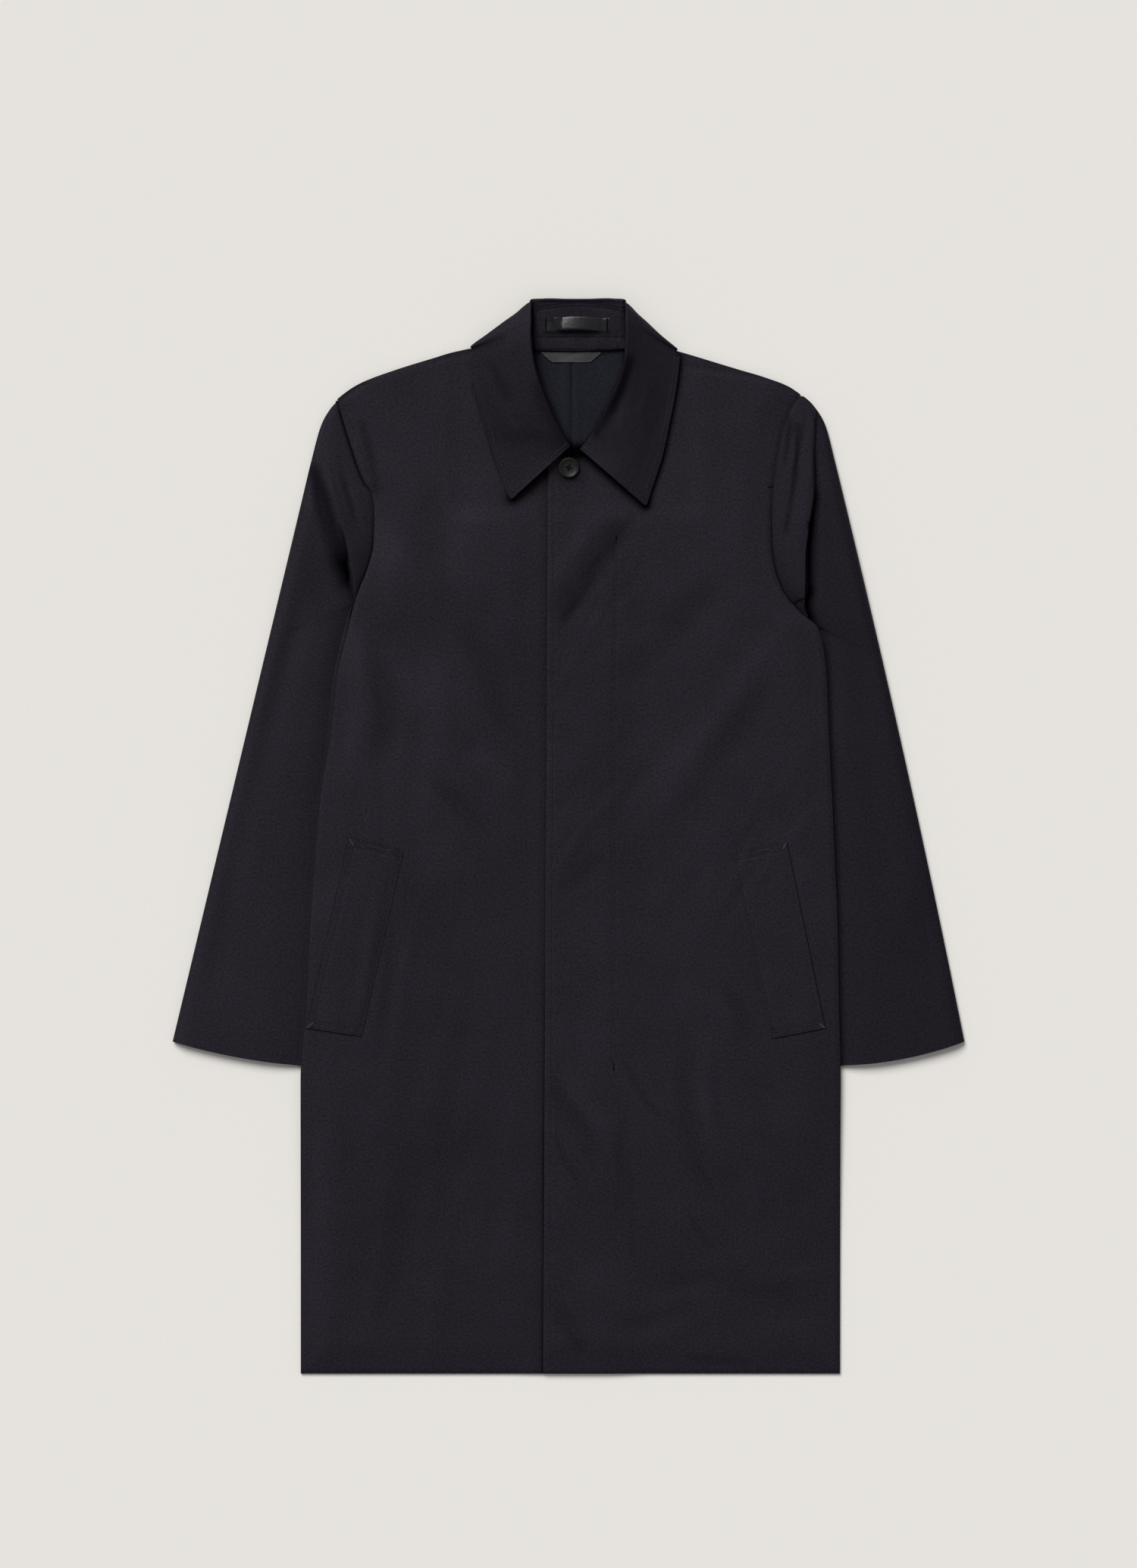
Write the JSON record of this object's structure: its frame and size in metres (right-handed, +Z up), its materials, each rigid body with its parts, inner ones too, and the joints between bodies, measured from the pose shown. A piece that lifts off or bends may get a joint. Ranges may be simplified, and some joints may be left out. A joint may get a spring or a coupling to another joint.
{
  "type": "mackintosh",
  "caption": "Dark fly-front mackintosh laid flat on its back, buttoned at the neck, with a spread collar, set-in sleeves, slanting welt pockets and a straight hem.",
  "frame": {"origin": "on the surface the coat lies on, under the middle of its overall width and length", "axes": "+X to the wearer's left, +Y up the coat from the hem to the collar, +Z up from the surface, out of the coat's front"},
  "size_m": [0.783, 1.0635, 0.0235],
  "materials": {
    "coat_cloth": "matt navy-black cotton gabardine",
    "lining_cloth": "smooth dark blue lining",
    "loop_satin": "black satin tape",
    "label_satin": "bare grey satin",
    "button_horn": "polished dark horn"
  },
  "bodies": {
    "root": {"front_right": "coat_cloth", "front_left": "coat_cloth", "back_right": "coat_cloth", "back_left": "coat_cloth", "top_sleeve_right": "coat_cloth", "top_sleeve_left": "coat_cloth", "under_sleeve_right": "coat_cloth", "under_sleeve_left": "coat_cloth", "collar_fall": "coat_cloth", "collar_stand": "coat_cloth", "pocket_welt_right": "coat_cloth", "pocket_welt_left": "coat_cloth", "back_lining_right": "lining_cloth", "back_lining_left": "lining_cloth", "hanger_loop": "loop_satin", "neck_label": "label_satin", "neck_button": "button_horn"}
  },
  "joints": []
}
